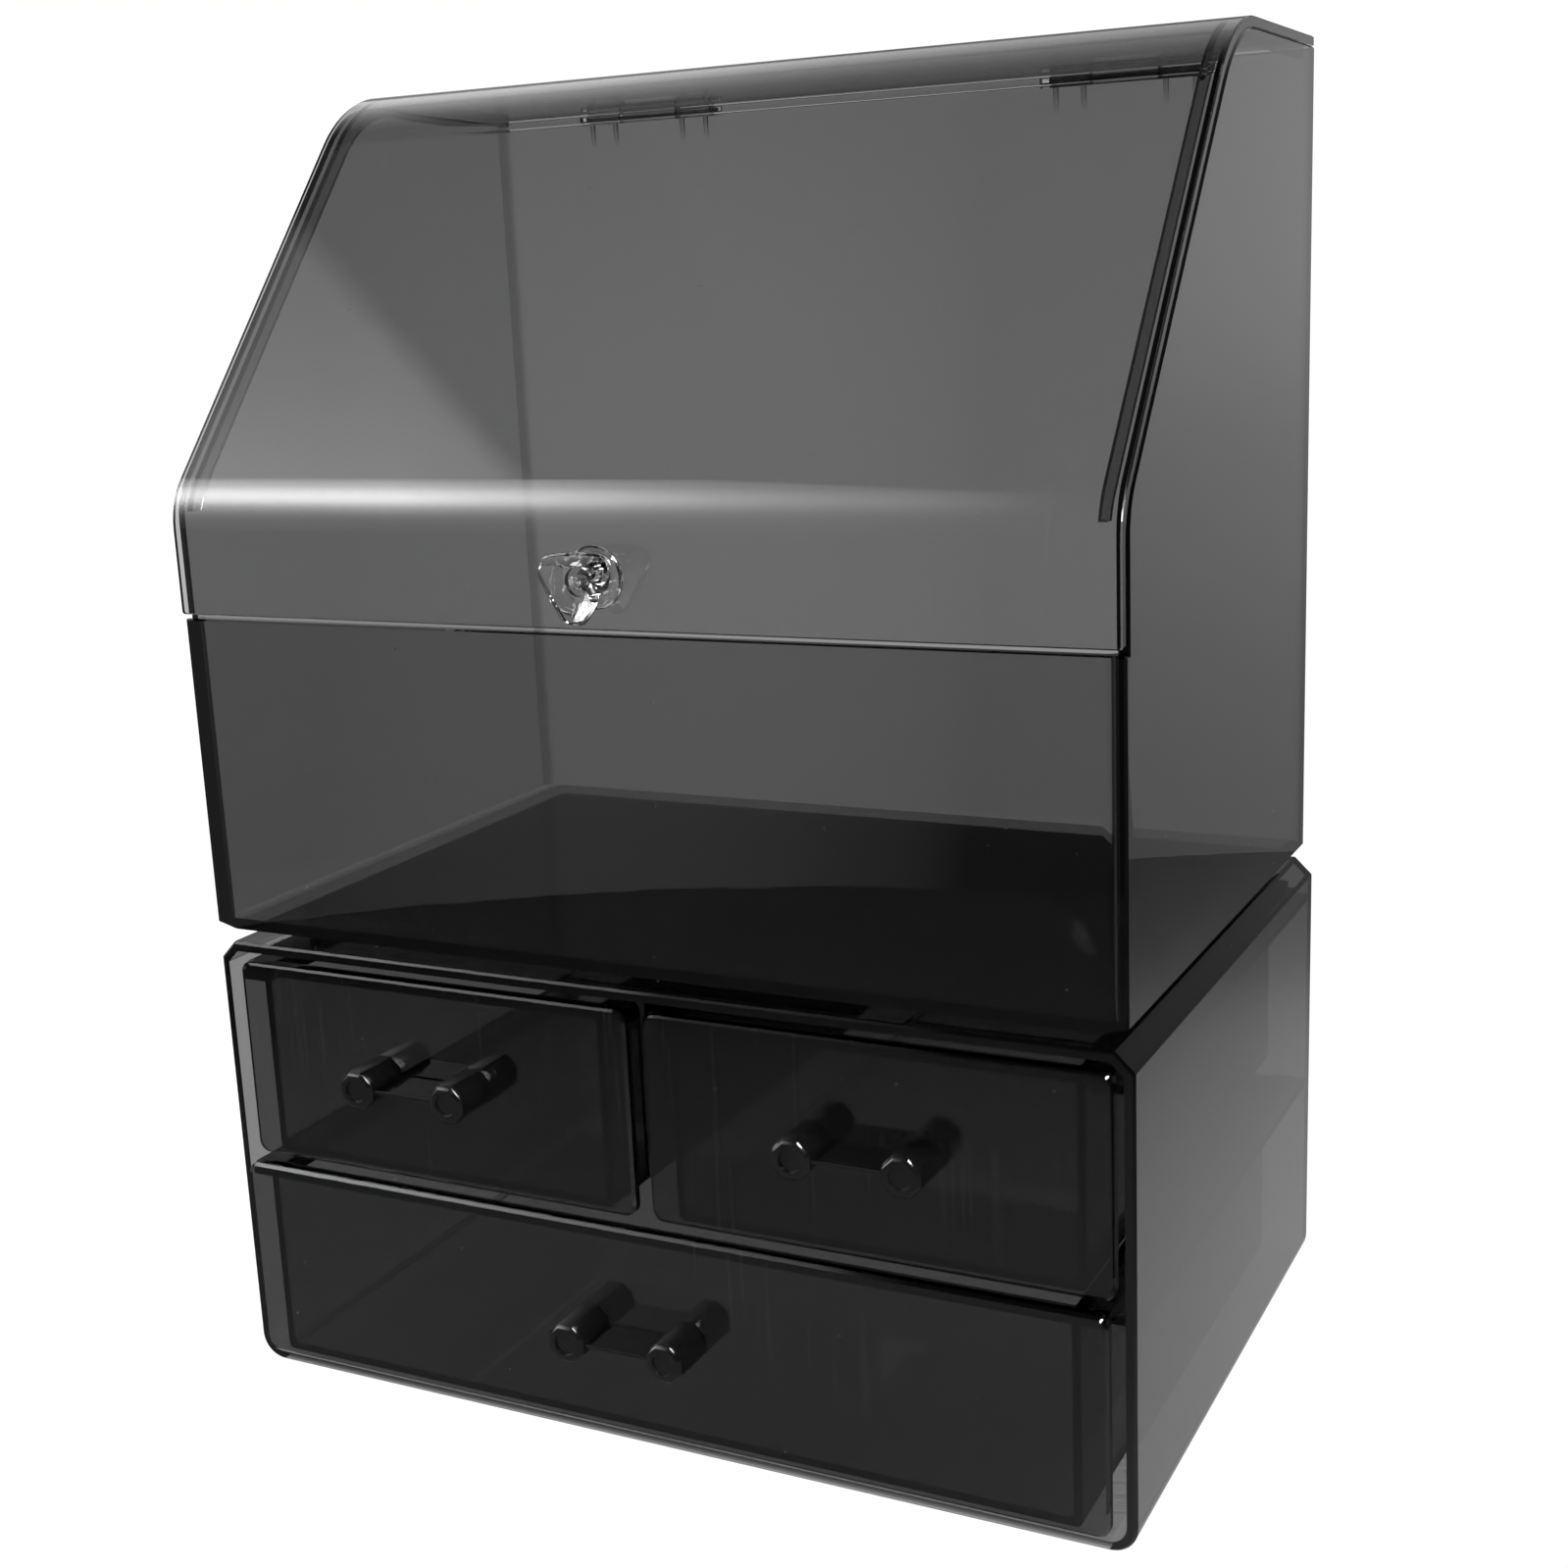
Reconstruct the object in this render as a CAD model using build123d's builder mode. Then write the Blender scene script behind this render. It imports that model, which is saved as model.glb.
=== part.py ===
from build123d import *
from math import atan2, cos, degrees, radians, tan
import os

# Makeup storage box in two units, in millimetres. +Z is up and the drawers face -Y.
# The origin is under the middle of the whole box, on the surface that it stands on.

# Lower case: one moulded shell, open at the front
case_width = 240.0
case_depth = 157.4
case_height = 115.5
case_wall = 2.4
case_top_chamfer = 4.5
case_bottom_radius = 6.5
case_rim_chamfer = 0.6

# Gaps round the drawer fronts
front_side_gap = 2.6
front_centre_gap = 4.5
front_bottom_gap = 2.5
front_row_gap = 1.1
front_top_gap = 3.0

# Drawer fronts
bottom_front_height = 52.5
front_thickness = 2.6
front_corner_radius = 3.0
front_edge_chamfer = 0.7
top_front_recess = 0.8
bottom_front_reach = 4.0

# Drawer trays, hung by side flanges
tray_length = 146.6
tray_wall = 2.0
tray_floor = 2.0
tray_corner_radius = 1.6
tray_lift = 0.9
flange_reach = 6.5
flange_thickness = 3.0
flange_drop = 0.5
cross_rim_depth = 2.0

# Runners under the flanges
runner_thickness = 2.0
runner_clearance = 0.3
runner_side_clearance = 0.7
runner_setback = 5.0
divider_thickness = 2.2
divider_height = 45.0

# Pulls: two octagonal posts joined by a thin web
post_spacing = 26.2
post_across_flats = 9.4
post_length = 12.6
post_chamfer = 0.8
post_recess_radius = 2.65
post_recess_depth = 0.6
web_thickness = 1.0
web_front_setback = 1.3
web_back_setback = 0.5
pull_rise = 1.2

# Screws
screw_radius = 1.4
screw_hole_clearance = 0.15
screw_bite = 6.0
screw_head_radius = 2.8
screw_head_height = 1.7
screw_head_taper = 25.0

# Display box that stands on the case
box_side_setback = 1.0
box_front_overhang = 1.1
box_back_setback = 4.2
box_height = 202.5
box_wall = 2.4
box_inner_radius = 3.0
box_back_corner_radius = 2.4
box_bottom_bevel_width = 6.0
box_bottom_bevel_height = 1.6
front_wall_height = 78.5
back_wall_drop = 0.4
side_edge_setback = 2.1
upright_edge_height = 28.9
top_edge_length = 73.0
lower_bend_radius = 16.0
upper_bend_radius = 34.0
box_edge_chamfer = 0.5
front_wall_edge_chamfer = 0.4
foot_height = 4.0
foot_inset = 14.0
foot_width = 2.4
foot_corner_radius = 6.0

# Lid: one bent sheet with a locating rib near each side
lid_thickness = 2.2
lid_clearance = 0.3
lid_side_setback = 0.4
lid_back_setback = 0.2
lid_corner_radius = 0.8
lid_edge_chamfer = 0.35
lip_overhang = 1.4
seam_gap = 1.3
rib_thickness = 1.8
rib_depth = 3.0
rib_side_clearance = 1.6
rib_back_setback = 4.2
rib_foot_drop = 3.0

# Hinges at the top of the back wall
hinge_side_distance = 49.5
hinge_shift = 2.1
knuckle_radius = 2.2
knuckle_clearance = 0.3
knuckle_length = 10.5
lid_knuckle_length = 17.8
knuckle_end_gap = 0.4
hinge_axis_inset = 1.5
pin_radius = 0.9
pin_running_clearance = 0.06
pin_tip_length = 2.0
pin_tip_radius = 0.35
pin_channel_clearance = 0.15
gusset_thickness = 1.2
gusset_height = 7.2
gusset_spacing = 7.5

# Crystal knob on the lid's lip
knob_height_on_lip = 11.8
knob_disc_radius = 7.0
knob_disc_thickness = 1.5
knob_neck_radius = 3.3
knob_neck_length = 2.6
gem_width = 16.4
gem_height = 15.0
gem_pavilion_depth = 3.6
gem_girdle_depth = 3.4
gem_crown_depth = 1.4
gem_table_scale = 0.82
gem_back_scale = 0.52
gem_corner_cut = 3.0

# Places that follow from the sizes above
case_front = (bottom_front_reach + post_length - case_depth) / 2
case_back = case_front + case_depth
case_inner_half = case_width / 2 - case_wall
front_outer = case_inner_half - front_side_gap
bottom_front_z = case_wall + front_bottom_gap
top_front_z = bottom_front_z + bottom_front_height + front_row_gap
top_front_height = case_height - case_wall - front_top_gap - top_front_z
top_front_width = front_outer - front_centre_gap / 2
top_front_centre = front_centre_gap / 2 + top_front_width / 2

box_half = case_width / 2 - box_side_setback
box_inner_half = box_half - box_wall
box_front = case_front - box_front_overhang
box_back = case_back - box_back_setback
box_bottom = case_height + foot_height
box_floor = box_bottom + box_wall
front_wall_top = box_bottom + front_wall_height
side_top = box_bottom + box_height
side_edge = box_front + side_edge_setback
slope_foot = front_wall_top + upright_edge_height
slope_head = box_back - top_edge_length
slope = atan2(side_top - slope_foot, slope_head - side_edge)

lid_half = box_half - lid_side_setback
lid_back = box_back - lid_back_setback
lid_inner_top = side_top + lid_clearance
lip_outer = box_front - lip_overhang
lip_inner = lip_outer + lid_thickness
lip_bottom = front_wall_top + seam_gap
lid_bend_radii = (lower_bend_radius + lid_clearance, upper_bend_radius + lid_clearance)

hinge_left = hinge_shift - (box_half - hinge_side_distance)
hinge_right = hinge_shift + (box_half - hinge_side_distance)
hinge_y = box_back - hinge_axis_inset
hinge_z = lid_inner_top - knuckle_clearance - knuckle_radius
hinge_gap = lid_knuckle_length + 2 * knuckle_end_gap
hinge_length = hinge_gap + 2 * knuckle_length
knob_z = lip_bottom + knob_height_on_lip

# Each drawer: name, middle of its front across the case, width, lowest edge, height, face
drawers = [
    ("left", -top_front_centre, top_front_width, top_front_z, top_front_height, case_front + top_front_recess),
    ("right", top_front_centre, top_front_width, top_front_z, top_front_height, case_front + top_front_recess),
    ("bottom", 0.0, 2 * front_outer, bottom_front_z, bottom_front_height, case_front - bottom_front_reach),
]


def upright_plane(y):
    """Plane across the box at depth y, seen from the front: its own x is X and its own y is Z."""
    return Plane.XZ.offset(-y)


def flange_top(front_z, front_height):
    """Height of a tray's flanges, a little under the top edge of its front."""
    return front_z + front_height - flange_drop


def runner_top(front_z, front_height):
    """Height of the runners that carry a tray's flanges."""
    return flange_top(front_z, front_height) - flange_thickness - runner_clearance


def lid_slope_height(y):
    """Height of the sloped sheet's inner face at depth y, before the bends are rounded."""
    return slope_foot + (y - side_edge) * tan(slope) + lid_clearance / cos(slope)


def save(piece, name):
    """Labels a finished piece and writes it as one STEP file."""
    piece.part.label = name
    export_step(piece.part, f"parts/{name}.step")


os.makedirs("parts", exist_ok=True)

# Lower case: a shell with two bevelled top corners and two rounded bottom corners,
# and a runner on each side wall for each row of drawers.
with BuildPart() as case_shell:
    with BuildSketch(upright_plane(case_front)) as case_outline:
        with Locations((0, case_height / 2)):
            Rectangle(case_width, case_height)
        chamfer(case_outline.vertices().group_by(Axis.Y)[-1], case_top_chamfer)
        fillet(case_outline.vertices().group_by(Axis.Y)[0], case_bottom_radius)
    extrude(amount=-case_depth)
    offset(amount=-case_wall, openings=case_shell.faces().sort_by(Axis.Y)[0])
    chamfer(case_shell.faces().sort_by(Axis.Y)[0].outer_wire().edges(), case_rim_chamfer)
    runner_inner = front_outer - flange_reach + runner_side_clearance
    runner_width = case_inner_half - runner_inner + case_wall / 2
    runner_tops = [runner_top(bottom_front_z, bottom_front_height), runner_top(top_front_z, top_front_height)]
    runner_places = [
        (side * (runner_inner + runner_width / 2), top - runner_thickness / 2)
        for top in runner_tops
        for side in (-1, 1)
    ]
    with BuildSketch(upright_plane(case_front + runner_setback)):
        with Locations(*runner_places):
            Rectangle(runner_width, runner_thickness)
    extrude(amount=-(case_depth - runner_setback - case_wall / 2))
save(case_shell, "case_shell")

# Partition that hangs between the two upper drawers, with a runner on each side.
with BuildPart() as centre_divider:
    divider_runner_half = front_centre_gap / 2 + flange_reach - runner_side_clearance
    divider_top = case_height - case_wall
    divider_runner_z = runner_top(top_front_z, top_front_height) - runner_thickness / 2
    with BuildSketch(upright_plane(case_front + runner_setback)) as divider_section:
        with Locations((0, divider_top - divider_height / 2)):
            Rectangle(divider_thickness, divider_height)
        with Locations((0, divider_runner_z)):
            Rectangle(2 * divider_runner_half, runner_thickness)
    extrude(amount=-(case_depth - runner_setback - case_wall))
save(centre_divider, "centre_divider")

for name, centre, width, bottom, height, face in drawers:
    front_back = face + front_thickness
    tray_width = width - 2 * flange_reach
    tray_bottom = bottom + tray_lift
    tray_top = flange_top(bottom, height)
    pull_z = bottom + height / 2 + pull_rise
    post_places = [(centre - post_spacing / 2, pull_z), (centre + post_spacing / 2, pull_z)]

    # Front plate with rounded corners, drilled for the screws of its pull.
    with BuildPart() as drawer_front:
        with BuildSketch(upright_plane(face)):
            with Locations((centre, bottom + height / 2)):
                RectangleRounded(width, height, front_corner_radius)
        extrude(amount=-front_thickness)
        chamfer(drawer_front.faces().sort_by(Axis.Y)[0].edges(), front_edge_chamfer)
        with BuildSketch(upright_plane(face)):
            with Locations(*post_places):
                Circle(screw_radius + screw_hole_clearance)
        extrude(amount=-front_thickness, mode=Mode.SUBTRACT)
    save(drawer_front, f"front_{name}")

    # Tray: a channel with side flanges, closed by a back wall and by the front plate,
    # with a narrow rim across its mouth behind the plate.
    with BuildPart() as drawer_tray:
        with BuildSketch(upright_plane(front_back)) as tray_section:
            with Locations((centre, (tray_bottom + tray_top) / 2)):
                Rectangle(tray_width, tray_top - tray_bottom)
            fillet(tray_section.vertices().group_by(Axis.Y)[0], tray_corner_radius)
            with Locations((centre, tray_top - flange_thickness / 2)):
                Rectangle(width - 2 * front_edge_chamfer, flange_thickness)
        extrude(amount=-tray_length)
        with BuildSketch(upright_plane(front_back)) as tray_room:
            with Locations((centre, (tray_bottom + tray_floor + tray_top) / 2)):
                Rectangle(tray_width - 2 * tray_wall, tray_top - tray_bottom - tray_floor)
            fillet(tray_room.vertices().group_by(Axis.Y)[0], tray_corner_radius)
        extrude(amount=-(tray_length - tray_wall), mode=Mode.SUBTRACT)
        with BuildSketch(upright_plane(front_back)):
            with Locations((centre, tray_top - flange_thickness / 2)):
                Rectangle(tray_width - tray_wall, flange_thickness)
        extrude(amount=-cross_rim_depth)
    save(drawer_tray, f"tray_{name}")

    # Pull: bevelled octagonal posts with a shallow round recess in each end.
    with BuildPart() as pull:
        with BuildSketch(upright_plane(face)):
            with Locations(*post_places):
                RegularPolygon(post_across_flats / 2, 8, major_radius=False, rotation=22.5)
        extrude(amount=post_length)
        chamfer(pull.faces().group_by(Axis.Y)[0].edges(), post_chamfer)
        with BuildSketch(upright_plane(face - web_back_setback)):
            with Locations((centre, pull_z)):
                Rectangle(post_spacing, web_thickness)
        extrude(amount=post_length - web_front_setback - web_back_setback)
        with BuildSketch(upright_plane(face - post_length)):
            with Locations(*post_places):
                Circle(post_recess_radius)
        extrude(amount=-post_recess_depth, mode=Mode.SUBTRACT)
        with BuildSketch(upright_plane(face)):
            with Locations(*post_places):
                Circle(screw_radius)
        extrude(amount=screw_bite, mode=Mode.SUBTRACT)
    save(pull, f"pull_{name}")

    # Screws from inside the drawer, one in each post.
    with BuildPart() as pull_screws:
        with BuildSketch(upright_plane(front_back)):
            with Locations(*post_places):
                Circle(screw_radius)
        extrude(amount=front_thickness + screw_bite)
        with BuildSketch(upright_plane(front_back)):
            with Locations(*post_places):
                Circle(screw_head_radius)
        extrude(amount=-screw_head_height, taper=screw_head_taper)
    save(pull_screws, f"pull_screws_{name}")

# Display box: floor, low front wall, back wall and two sides with a sloped front edge.
with BuildPart() as display_box:
    with BuildSketch(Plane.YZ) as box_profile:
        with BuildLine():
            Polyline(
                (box_front, box_bottom),
                (box_front, front_wall_top),
                (side_edge, front_wall_top),
                (side_edge, slope_foot),
                (slope_head, side_top),
                (box_back, side_top),
                (box_back, box_bottom),
                close=True,
            )
        make_face()
        for bend_height, bend_radius in ((slope_foot, lower_bend_radius), (side_top, upper_bend_radius)):
            bend = [v for v in box_profile.vertices() if v.X < box_back - 1 and abs(v.Y - bend_height) < 0.01]
            fillet(bend, bend_radius)
        fillet(box_profile.vertices().group_by(Axis.Y)[-1].sort_by(Axis.X)[-1], knuckle_radius)
    extrude(amount=box_half, both=True)
    outer_sides = display_box.faces().sort_by(Axis.X)
    chamfer(outer_sides[0].edges() + outer_sides[-1].edges(), box_edge_chamfer)
    # Rounded upright corners at the back.
    with BuildSketch(Plane.XY.offset(box_floor)):
        with Locations((-box_half, box_back), (box_half, box_back)):
            Rectangle(2 * box_back_corner_radius, 2 * box_back_corner_radius)
        corner_x = box_half - box_back_corner_radius
        corner_y = box_back - box_back_corner_radius
        with Locations((-corner_x, corner_y), (corner_x, corner_y)):
            Circle(box_back_corner_radius, mode=Mode.SUBTRACT)
    extrude(amount=box_height, both=True, mode=Mode.SUBTRACT)
    # The room inside, with rounded upright corners.
    with BuildSketch(Plane.XY.offset(box_floor)):
        with Locations((0, (box_front + box_back) / 2)):
            RectangleRounded(2 * box_inner_half, box_back - box_front - 2 * box_wall, box_inner_radius)
    extrude(amount=box_height, mode=Mode.SUBTRACT)
    # Above the front wall only the side panels stand, up to the back wall.
    with BuildSketch(Plane.XY.offset(front_wall_top)):
        with Locations((0, (box_front + slope_head) / 2)):
            Rectangle(2 * box_inner_half, slope_head - box_front + 2)
    extrude(amount=box_height, mode=Mode.SUBTRACT)
    with BuildSketch(Plane.XY.offset(side_top - back_wall_drop)):
        with Locations((0, box_back - box_wall / 2)):
            Rectangle(2 * box_inner_half, 2 * box_wall)
    extrude(amount=2 * back_wall_drop, mode=Mode.SUBTRACT)
    front_wall_edges = display_box.edges().filter_by(Axis.X).filter_by_position(
        Axis.Z, front_wall_top - box_edge_chamfer / 2, front_wall_top + box_edge_chamfer / 2
    )
    chamfer(front_wall_edges.sort_by(Axis.Y)[0], front_wall_edge_chamfer)
    # Shallow bevel under both long sides.
    with BuildSketch(upright_plane(box_front)):
        for side in (-1, 1):
            with BuildLine():
                Polyline(
                    (side * box_half, box_bottom),
                    (side * box_half, box_bottom + box_bottom_bevel_height),
                    (side * (box_half - box_bottom_bevel_width), box_bottom),
                    close=True,
                )
            make_face()
    extrude(amount=-(box_back - box_front), mode=Mode.SUBTRACT)
    # Foot ring that stands on the case.
    foot_length = box_back - box_front - 2 * foot_inset
    foot_span = 2 * (box_half - foot_inset)
    with BuildSketch(Plane.XY.offset(case_height)):
        with Locations((0, (box_front + box_back) / 2)):
            RectangleRounded(foot_span, foot_length, foot_corner_radius)
            RectangleRounded(
                foot_span - 2 * foot_width,
                foot_length - 2 * foot_width,
                foot_corner_radius - foot_width,
                mode=Mode.SUBTRACT,
            )
    extrude(amount=foot_height)
    # Hinge knuckles on the back wall, each held by two tapered gussets.
    # A channel in the wall frees the ends of the pins, and a notch clears the lid's knuckle.
    for hinge_x in (hinge_left, hinge_right):
        with BuildSketch(Plane.YZ.offset(hinge_x)):
            with Locations((hinge_y, hinge_z)):
                Circle(pin_radius + pin_channel_clearance)
        extrude(amount=hinge_length / 2 + 1.5 * pin_tip_length, both=True, mode=Mode.SUBTRACT)
        with BuildSketch(Plane.YZ.offset(hinge_x)):
            with Locations((hinge_y, hinge_z - knuckle_radius - knuckle_clearance)):
                Rectangle(2 * (knuckle_radius + box_wall), box_height, align=(Align.CENTER, Align.MIN))
        extrude(amount=hinge_gap / 2, both=True, mode=Mode.SUBTRACT)
        for side in (-1, 1):
            knuckle_x = hinge_x + side * (hinge_gap + knuckle_length) / 2
            with BuildSketch(Plane.YZ.offset(knuckle_x)):
                with Locations((hinge_y, hinge_z)):
                    Circle(knuckle_radius)
            extrude(amount=knuckle_length / 2, both=True)
            for gusset_x in (knuckle_x - gusset_spacing / 2, knuckle_x + gusset_spacing / 2):
                with BuildSketch(Plane.YZ.offset(gusset_x)):
                    with BuildLine():
                        Polyline(
                            (hinge_y - knuckle_radius, hinge_z),
                            (hinge_y, hinge_z),
                            (box_back - box_wall / 2, hinge_z - knuckle_radius - gusset_height),
                            (box_back - box_wall, hinge_z - knuckle_radius - gusset_height),
                            close=True,
                        )
                    make_face()
                extrude(amount=gusset_thickness / 2, both=True)
        with BuildSketch(Plane.YZ.offset(hinge_x)):
            with Locations((hinge_y, hinge_z)):
                Circle(pin_radius)
        extrude(amount=hinge_length / 2, both=True, mode=Mode.SUBTRACT)
save(display_box, "display_box")

# Lid: one sheet bent twice, from the lip at the front to the hinges at the back.
lid_path = [
    (lip_inner, lip_bottom),
    (lip_inner, lid_slope_height(lip_inner)),
    (side_edge + (lid_inner_top - lid_slope_height(side_edge)) / tan(slope), lid_inner_top),
    (lid_back, lid_inner_top),
]
with BuildPart() as lid:
    with BuildSketch(Plane.YZ):
        with BuildLine():
            FilletPolyline(*lid_path, radius=lid_bend_radii)
            offset(amount=lid_thickness, side=Side.LEFT)
        make_face()
    extrude(amount=lid_half, both=True)
    fillet(lid.edges().filter_by(Axis.Y).group_by(Axis.Z)[0], lid_corner_radius)
    fillet(lid.edges().filter_by(Axis.Z).group_by(Axis.Y)[-1], lid_corner_radius)
    # The outer skin faces up and to the front. Its whole border is bevelled.
    skin = lid.faces().filter_by(lambda f: f.normal_at().dot(Vector(0, -1, 1)) > 0.1)
    across = skin.edges().filter_by(Axis.X)
    border = skin.edges().filter_by(Axis.X, reverse=True) + [across.sort_by(Axis.Z)[0], across.sort_by(Axis.Y)[-1]]
    chamfer(border, lid_edge_chamfer)
    # Locating ribs under the sheet, just inside the side panels.
    for side in (-1, 1):
        rib_x = side * (box_inner_half - rib_side_clearance - rib_thickness / 2)
        with BuildSketch(Plane.YZ.offset(rib_x)):
            with BuildLine():
                FilletPolyline(*lid_path, radius=lid_bend_radii)
                offset(amount=rib_depth, side=Side.RIGHT)
            make_face()
            with Locations((lip_inner, slope_foot - rib_foot_drop - box_height / 2)):
                Rectangle(box_height, box_height, mode=Mode.SUBTRACT)
            with Locations((lid_back, lid_inner_top)):
                Rectangle(2 * rib_back_setback, 3 * rib_depth, mode=Mode.SUBTRACT)
        extrude(amount=rib_thickness / 2, both=True)
    # Middle knuckles, one for each hinge, with a running bore for the pin.
    for hinge_x in (hinge_left, hinge_right):
        with BuildSketch(Plane.YZ.offset(hinge_x)):
            with Locations((hinge_y, hinge_z)):
                Circle(knuckle_radius)
            with Locations((hinge_y - knuckle_radius, hinge_z)):
                Rectangle(
                    knuckle_radius + hinge_axis_inset - lid_back_setback,
                    lid_inner_top - hinge_z,
                    align=(Align.MIN, Align.MIN),
                )
            with Locations((hinge_y, hinge_z)):
                Circle(pin_radius + pin_running_clearance, mode=Mode.SUBTRACT)
        extrude(amount=lid_knuckle_length / 2, both=True)
    # Hole for the knob's screw.
    with BuildSketch(upright_plane(lip_outer)):
        with Locations((0, knob_z)):
            Circle(screw_radius + screw_hole_clearance)
    extrude(amount=-lid_thickness, mode=Mode.SUBTRACT)
save(lid, "lid")

# Hinge pins, pushed in from the left, with a tapered tip that stands out on the right.
for name, hinge_x in (("left", hinge_left), ("right", hinge_right)):
    with BuildPart() as hinge_pin:
        with BuildSketch(Plane.XY.offset(hinge_z)):
            with BuildLine():
                Polyline(
                    (hinge_x - hinge_length / 2, hinge_y),
                    (hinge_x - hinge_length / 2, hinge_y + pin_radius),
                    (hinge_x + hinge_length / 2, hinge_y + pin_radius),
                    (hinge_x + hinge_length / 2 + pin_tip_length, hinge_y + pin_tip_radius),
                    (hinge_x + hinge_length / 2 + pin_tip_length, hinge_y),
                    close=True,
                )
            make_face()
        revolve(axis=Axis((0, hinge_y, hinge_z), (1, 0, 0)))
    save(hinge_pin, f"hinge_pin_{name}")


def gem_outline(scale):
    """Cut-corner triangle, flat side up and bowed a little on each side, as a list of points."""
    half_width = gem_width / 2
    top = gem_height / 3
    foot = top - gem_height
    cut = gem_corner_cut
    bow = cut / 6
    right = [
        (0.0, top),
        (half_width - cut, top - bow / 2),
        (half_width - cut / 4, top - cut / 2),
        (half_width, top - cut),
        (half_width / 2 + bow, (top + foot) / 2 + bow),
        (cut / 2, foot + cut / 6),
    ]
    left = [(-x, y) for x, y in reversed(right[1:])]
    return [(scale * x, scale * y) for x, y in right + left]


# Knob: a base disc and neck, and a gem cut in flat facets from its back, past its girdle, to its table.
with BuildPart() as knob:
    with BuildSketch(upright_plane(lip_outer)):
        with Locations((0, knob_z)):
            Circle(knob_disc_radius)
    extrude(amount=knob_disc_thickness)
    chamfer(knob.faces().sort_by(Axis.Y)[0].edges(), knob_disc_thickness / 3)
    neck_front = lip_outer - knob_disc_thickness
    with BuildSketch(upright_plane(neck_front)):
        with Locations((0, knob_z)):
            Circle(knob_neck_radius)
    extrude(amount=knob_neck_length)
    gem_levels = [
        (neck_front - knob_neck_length, gem_back_scale),
        (neck_front - knob_neck_length - gem_pavilion_depth, 1.0),
        (neck_front - knob_neck_length - gem_pavilion_depth - gem_girdle_depth, 1.0),
        (neck_front - knob_neck_length - gem_pavilion_depth - gem_girdle_depth - gem_crown_depth, gem_table_scale),
    ]
    gem_rings = [[(x, y, knob_z + z) for x, z in gem_outline(scale)] for y, scale in gem_levels]
    facets = [
        Face(Wire.make_polygon([ring[i - 1], ring[i], following[i], following[i - 1]]))
        for ring, following in zip(gem_rings, gem_rings[1:])
        for i in range(len(ring))
    ]
    gem_ends = [Face(Wire.make_polygon(ring)) for ring in (gem_rings[0], gem_rings[-1])]
    add(Solid(Shell(facets + gem_ends)))
    with BuildSketch(upright_plane(lip_outer)):
        with Locations((0, knob_z)):
            Circle(screw_radius)
    extrude(amount=screw_bite, mode=Mode.SUBTRACT)
save(knob, "knob")

# Screw that holds the knob from inside the lid.
with BuildPart() as knob_screw:
    with BuildSketch(upright_plane(lip_inner)):
        with Locations((0, knob_z)):
            Circle(screw_radius)
    extrude(amount=lid_thickness + screw_bite)
    with BuildSketch(upright_plane(lip_inner)):
        with Locations((0, knob_z)):
            Circle(screw_head_radius)
    extrude(amount=-screw_head_height, taper=screw_head_taper)
save(knob_screw, "knob_screw")

print("slope", round(degrees(slope), 1), "hinge", round(hinge_y, 2), round(hinge_z, 2), "case front", case_front)
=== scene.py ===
"""Smoke-grey makeup storage box: finishes for its solids, a crystal knob, screws and a plain studio."""

import math

import bmesh
import bpy
import numpy as np
from mathutils import Matrix, Vector


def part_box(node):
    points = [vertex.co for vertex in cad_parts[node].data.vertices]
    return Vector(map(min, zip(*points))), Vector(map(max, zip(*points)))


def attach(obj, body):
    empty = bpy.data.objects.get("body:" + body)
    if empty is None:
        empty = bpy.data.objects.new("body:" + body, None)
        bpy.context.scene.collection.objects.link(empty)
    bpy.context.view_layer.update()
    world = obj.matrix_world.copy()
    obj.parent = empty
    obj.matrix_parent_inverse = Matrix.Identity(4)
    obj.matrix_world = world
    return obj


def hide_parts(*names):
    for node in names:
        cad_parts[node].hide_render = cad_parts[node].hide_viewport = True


bl_info = {
    "name": "Makeup Storage Box",
    "version": (1, 0, 0),
    "blender": (4, 5, 0),
    "location": "View3D > Sidebar > Makeup Box",
    "description": "Dresses a makeup storage box with a hinged lid and three drawers",
    "category": "Object",
}

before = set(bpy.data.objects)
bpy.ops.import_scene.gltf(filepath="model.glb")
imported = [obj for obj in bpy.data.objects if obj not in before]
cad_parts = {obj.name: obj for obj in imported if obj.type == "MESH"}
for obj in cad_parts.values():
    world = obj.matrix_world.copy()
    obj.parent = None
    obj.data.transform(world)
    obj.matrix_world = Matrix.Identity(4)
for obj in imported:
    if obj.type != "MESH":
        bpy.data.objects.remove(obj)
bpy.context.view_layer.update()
FULL_TURN = 2 * math.pi
WHITE = (1.0, 1.0, 1.0, 1.0)

# Share of the plastic's cells that have no speck, and roughness that dull spots add to the pulls

SPECKLESS = 0.55
DULL_SPOTS = 0.12

# Knob: depths are measured from the lid's face towards the front, heights from the disc's middle

KNOB_BORE_RADIUS = 0.00145
KNOB_BORE_PAST_SCREW = 0.0001
KNOB_OFF_LID = 0.00005
DISC_EDGE = 0.0004
DISC_THICKNESS = 0.0015
DISC_DISH_DEPTH = 0.0012
NECK_FOOT_DEPTH = 0.002
GEM_BACK_DEPTH = 0.0041
GEM_CROWN_DEPTH = 0.0078
GEM_FRONT_DEPTH = 0.0125
GEM_CROWN_HEIGHT = 0.0001
GEM_TABLE_DROP = 0.0007
GEM_SIDE_BOW = 0.05
GEM_LEVELS = (
    (GEM_BACK_DEPTH, 0.5), (0.0057, 0.76), (0.0075, 1.0), (0.0087, 0.99), (0.0099, 0.93), (0.0113, 0.87),
)

# Screws: the dome and the cross in shares of the head's radius, its side as (radius, height) shares

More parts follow.
